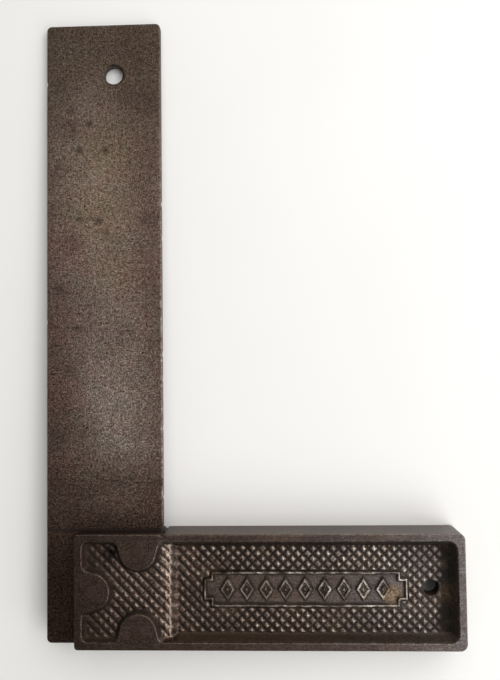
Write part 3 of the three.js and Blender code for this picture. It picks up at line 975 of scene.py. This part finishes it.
def blade_steel():
    """Old steel with a grey-brown patina, rubbed paler along the middle, darker towards the
    tip and the stock, and lightly stained and pitted, with painted shade round its hole and a
    painted contact shadow along the stock."""
    r = Recipe("aged_blade_steel")
    cloud = r.noise(13, 4, 0.55)
    mottle = r.noise(3.2, 4, 0.55, shift=4)
    fleck = r.noise(1.3, 3, 0.6, shift=7, contrast=1.8)
    speckle = r.noise(0.6, 3, 0.75, shift=9, contrast=2.2)
    dust = r.noise(0.3, 2, 0.7, shift=3, contrast=2)

    off_middle = r.math("SUBTRACT", r.math("ADD", r.x, r.product(r.y, RUBBED_LEAN)), RUBBED_MIDDLE)
    off_middle = r.math("ADD", off_middle, r.product(cloud, RUBBED_WANDER))
    rubbed = r.ramp(r.math("ABSOLUTE", off_middle), RUBBED_HALF_WIDTH, 1, smooth=True)
    along = r.math("ADD", r.y, r.product(r.math("SUBTRACT", mottle, 0.5), 6.0))
    tone = r.mix(rubbed, r.levels(along, EDGE_PATINA), r.levels(along, RUBBED_PATINA))
    tone = r.vary(tone, (cloud, 0.35), (mottle, 0.2), (fleck, 0.45), (speckle, 1.1), (dust, 1.0))

    upper_face = r.ramp(r.z, 0, BLADE_TOP / 2)
    stained = r.product(r.round_marks(STAINS), r.ramp(mottle, 0.3, 0.5))
    spotted = r.product(r.round_marks(SPOTS), r.ramp(fleck, 0.0, 0.5))
    marked = r.product(r.math("MAXIMUM", stained, spotted), upper_face)
    pits = r.product(r.spots(1.9, 0.5), r.ramp(r.noise(9, 3, shift=6), 0.48, 0.6))
    # A dark band on the blade along the stock: dirt, with a painted contact shadow
    by_stock = r.product(r.ramp(r.y, 1.0, 0.5), r.ramp(r.y, -0.6, 0.0))
    dark = r.attribute("grime_and_shade")
    for more in (marked, pits, by_stock):
        dark = r.math("MAXIMUM", dark, more)

    swing = r.math("SUBTRACT", r.noise(4, 4, 0.7, shift=12, contrast=1.8), 0.5)
    warmth = r.math("ADD", r.levels(r.y, WARMTH), r.round_marks(RUSTY_PLACES))
    warmth = r.math("ADD", warmth, swing)
    olive = r.round_marks(OLIVE_PLACES)
    hues = [r.mix(olive, plain, greener) for plain, greener in zip(BLADE_HUES, OLIVE_BLADE_HUES)]
    colour = r.tinted(tone, warmth, hues)
    # The dark mask goes towards a rust colour: rust on stains and pits, dirt and painted contact
    # shadow by the stock, and painted shade round the hole
    colour = r.mix(r.product(dark, 0.9), colour, DARK_RUST_AND_SHADE)
    # Wear, and on the side walls a painted reflection of the table, shows the paler steel
    worn = r.product(r.attribute("wear"), r.ramp(mottle, 0.3, 0.6))
    colour = r.mix(worn, colour, WORN_STEEL)

    roughness = r.vary(0.46, (mottle, 0.12), (speckle, 0.2))
    metallic = r.ramp(dark, 1.4, 0.0)
    brushed = r.noise(0.5, 3, 0.6, stretch=(1, 18, 1), shift=2)
    normal = r.bump(speckle, 0.02, 0.5)
    normal = r.bump(brushed, 0.006, 0.4, normal)
    normal = r.bump(r.math("SUBTRACT", 1.0, dark), 0.05, 0.6, normal)
    return r.finish(colour, roughness, metallic, normal, DULL_SPECULAR)


# Against x, paler towards the free end: the tone of the stock's outer faces, and that of the
# bright metal on its teeth and edges
IRON_TONE = (
    (-26, 0.034), (-5, 0.045), (8, 0.046), (22, 0.046), (50, 0.049), (72, 0.062),
    (80, 0.08), (88, 0.094),
)
# Its entries near x = 1 and 3, at the step, raise the step's painted highlight
TOOTH_TONE = (
    (-26, 0.075), (-20, 0.095), (-13, 0.122), (-3, 0.145), (1, 0.15), (3, 0.142), (6, 0.12),
    (14, 0.15), (45, 0.2), (72, 0.225), (80, 0.17), (88, 0.12),
)
TOOTH_LIFT = ((-29, 0.9), (-17, 1.0), (-4, 1.4))  # what TOOTH_TONE is multiplied by, against y
FRAME_SHINE = 1.6  # how much brighter the frame's metal is

# Against x: how fully the dirt and the painted shade cover the metal where they lie, and how brown
# they can be
DIRT_AND_SHADE_COVER = ((-26, 1), (30, 0.97), (50, 0.72), (75, 0.72), (79, 0.96))
BROWNNESS = ((-26, 0.4), (-14, 0.4), (-7, 1), (88, 1))

# A painted shadow beside the inner pad's left flank, and golden stains in the stock's pockets: x,
# y, radius and strength
PAD_SHADOW_PLACES = ((-14.6, -5.5, 4.2, 1.0),)
GOLDEN_STAINS = ((66.3, MIDDLE_Y - 1.5, 4.4, 1.0), (84.0, MIDDLE_Y - 1.0, 5.0, 0.25))


def cast_iron():
    """Dark cast iron: black-brown dirt in the hollows, painted shade in the crevices, round the
    hole and beside the inner pad, dull iron on the ground faces, and brighter metal on the teeth
    and edges, with painted highlight on the step and a painted reflection on the side walls."""
    r = Recipe("worn_cast_iron")
    cloud = r.noise(14, 3, 0.5, shift=1)
    mottle = r.noise(2.6, 5, 0.6, shift=5)
    speckle = r.noise(0.55, 3, 0.75, shift=3, contrast=1.6)
    dust = r.noise(0.3, 2, 0.7, shift=11, contrast=2)

    across = r.math("COMPARE", r.x, FRAME_X, TAB_HALF[0] + 0.2)
    along = r.math("COMPARE", r.y, MIDDLE_Y, FRAME_HALF[1] + 0.2)
    shine = r.math("MULTIPLY_ADD", r.product(across, along), FRAME_SHINE - 1, 1.0)
    tone = r.product(r.levels(r.x, IRON_TONE), shine)
    streaks = r.noise(0.8, 3, 0.6, stretch=(25, 1, 1), shift=17, contrast=1.5)
    tone = r.vary(tone, (cloud, 0.25), (mottle, 0.35), (speckle, 0.7), (dust, 1.1), (streaks, 0.3))
    warmth = r.math("SUBTRACT", r.ramp(cloud, 0.1, 0.7), r.ramp(r.x, 10, 90))
    warmth = r.ramp(warmth, -0.3, 0.7)
    colour = r.tinted(tone, warmth, IRON_HUES)

    # Dirt in the hollows, with painted shade in the crevices and round the hole, at a strength
    # against x
    dirt_and_shade = r.product(r.attribute("grime_and_shade"), r.levels(r.x, DIRT_AND_SHADE_COVER))
    by_outer_wall = r.ramp(r.y, STOCK_EDGE + RIM + 2.2, STOCK_EDGE + RIM + 1.4)
    brown = r.math("MAXIMUM", r.ramp(r.noise(7, 4, shift=8), 0.5, 0.72), by_outer_wall)
    brown = r.product(brown, r.levels(r.x, BROWNNESS))
    colour = r.mix(dirt_and_shade, colour, r.mix(brown, BLACK_DIRT_AND_SHADE, BROWN_DIRT_AND_SHADE))

    # Wear, with painted highlight on the step and a painted reflection on the side walls, shows the
    # bright metal
    worn = r.product(r.attribute("wear"), r.ramp(mottle, 0.2, 0.45))
    fleck = r.noise(1.6, 2, 0.6, shift=14, contrast=2)
    bright = r.product(r.levels(r.x, TOOTH_TONE), shine, r.levels(r.y, TOOTH_LIFT))
    bright = r.vary(bright, (fleck, 0.75), (speckle, 0.85), (dust, 0.9))
    tooth_warmth = r.math("MULTIPLY_ADD", warmth, 0.4, 0.75)
    colour = r.mix(worn, colour, r.tinted(bright, tooth_warmth, TOOTH_HUES))

    in_upper_pocket = r.math("COMPARE", r.z, STOCK_TOP / 2, STOCK_TOP / 2 - 0.5)
    golden = r.product(r.round_marks(GOLDEN_STAINS), r.ramp(speckle, 0.35, 0.7), in_upper_pocket)
    colour = r.mix(golden, colour, r.mix(fleck, DARK_GOLD, PALE_GOLD))
    # Painted shadow beside the inner pad's left flank, on the upper face
    pad_shadow = r.product(r.round_marks(PAD_SHADOW_PLACES), in_upper_pocket)
    colour = r.mix(pad_shadow, colour, PAD_SHADOW_BLACK)

    roughness = r.vary(0.5, (mottle, 0.12), (speckle, 0.15))
    roughness = r.math("ADD", roughness, r.product(dirt_and_shade, 0.2))
    roughness = r.math("SUBTRACT", roughness, r.product(worn, 0.2))
    metallic = r.ramp(r.math("ADD", dirt_and_shade, golden), 1.5, 0.0)
    normal = r.bump(speckle, 0.03, 0.6)
    normal = r.bump(mottle, 0.06, 0.4, normal)
    return r.finish(colour, roughness, metallic, normal, DULL_SPECULAR)


def rivet_steel():
    """Soft steel ground flush, with nearly the same dark patina as the iron round it."""
    r = Recipe("ground_rivet_steel")
    mottle = r.noise(1.2, 5, 0.6, shift=7)
    speckle = r.noise(0.45, 3, 0.75, shift=3, contrast=2)
    tone = r.vary(0.045, (mottle, 0.35), (speckle, 0.5))
    colour = r.tinted(tone, mottle, RIVET_HUES)
    roughness = r.vary(0.48, (mottle, 0.2), (speckle, 0.15))
    normal = r.bump(speckle, 0.03, 0.6)
    return r.finish(colour, roughness, 1.0, normal)


def table_top():
    """A plain pale table, very slightly uneven in tone."""
    r = Recipe("pale_table")
    colour = r.mix(r.ramp(r.noise(160, 3), 0.3, 0.7), *PALE_TABLE)
    normal = r.bump(r.noise(0.8, 3), 0.01, 0.2)
    return r.finish(colour, 0.6, 0.0, normal)


# ---- table, light and camera

# The table meets the stock's lower edge and the blade's tip
TABLE_TILT = math.atan2(STOCK_TOP - BLADE_TOP, BLADE_TIP)
TABLE_HALF = 3.0  # half its side, in metres
TABLE_GAP = 0.05  # below the stock's lower edge
AMBIENT_COLOUR = (1.0, 0.985, 0.965, 1)
AMBIENT_STRENGTH = 0.26
SOFTBOX_SIZE = 0.7  # a light's side, as a share of its distance
# Each softbox's name, azimuth and elevation in degrees, distance in metres and power in watts
SOFTBOXES = (
    ("window", 0, 62, 1.0, 4.1),
    ("window_far", 90, 55, 1.0, 2.8),
    ("close_near", 315, 35, 0.45, 0.82),
    ("close_far", 45, 35, 0.45, 0.66),
)
CAMERA_LENS = 40.68
CAMERA_PLACE = (35.94, 45.41, 234.72 - STOCK_TOP)  # millimetres from the inside corner
CAMERA_TURN = (2.64, 2.437, -0.792)  # degrees from looking straight down, about x, y and z


def make_table():
    mesh = bpy.data.meshes.new("table")
    signs = ((-1, -1), (1, -1), (1, 1), (-1, 1))
    corners = [(x * TABLE_HALF, y * TABLE_HALF, 0) for x, y in signs]
    mesh.from_pydata(corners, [], [(0, 1, 2, 3)])
    table = new_object("table", mesh)
    table.location = CORNER - Vector((0, 0, STOCK_TOP + TABLE_GAP)) * MM
    table.rotation_euler = (TABLE_TILT, 0, 0)
    mesh.materials.append(table_top())


def softbox(name, azimuth, elevation, distance, power):
    """A square light aimed at the part from an azimuth and elevation in degrees."""
    data = bpy.data.lights.new(name, "AREA")
    data.shape = "SQUARE"
    data.size = SOFTBOX_SIZE * distance
    data.energy = power
    light = new_object(name, data)
    around, up = math.radians(azimuth), math.radians(elevation)
    flat = math.cos(up)
    towards = Vector((math.cos(around) * flat, math.sin(around) * flat, math.sin(up)))
    light.location = distance * towards
    light.rotation_euler = (-light.location).to_track_quat("-Z", "Y").to_euler()


def make_light():
    world = bpy.data.worlds.new("studio")
    bpy.context.scene.world = world
    world.use_nodes = True
    background = world.node_tree.nodes["Background"]
    background.inputs["Color"].default_value = AMBIENT_COLOUR
    background.inputs["Strength"].default_value = AMBIENT_STRENGTH
    for box in SOFTBOXES:
        softbox(*box)


def make_camera():
    data = bpy.data.cameras.new("camera")
    data.lens = CAMERA_LENS
    data.clip_start = 0.01
    camera = new_object("camera", data)
    camera.location = CORNER + Vector(CAMERA_PLACE) * MM
    camera.rotation_mode = "ZYX"
    camera.rotation_euler = Euler([math.radians(angle) for angle in CAMERA_TURN], "ZYX")
    bpy.context.scene.camera = camera


def dress(piece, material):
    piece.data.shade_smooth()
    piece.data.set_sharp_from_angle(angle=math.radians(SHARP_ANGLE))
    piece.data.materials.clear()
    piece.data.materials.append(material)
    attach(piece, "root")


make_camera()
make_table()
make_light()
dress(make_stock(), cast_iron())
dress(make_blade(), blade_steel())
rivet_finish = rivet_steel()
for rivet_name, rivet_place in RIVETS.items():
    dress(make_rivet(rivet_name, rivet_place), rivet_finish)
bpy.context.scene.view_settings.view_transform = "Standard"
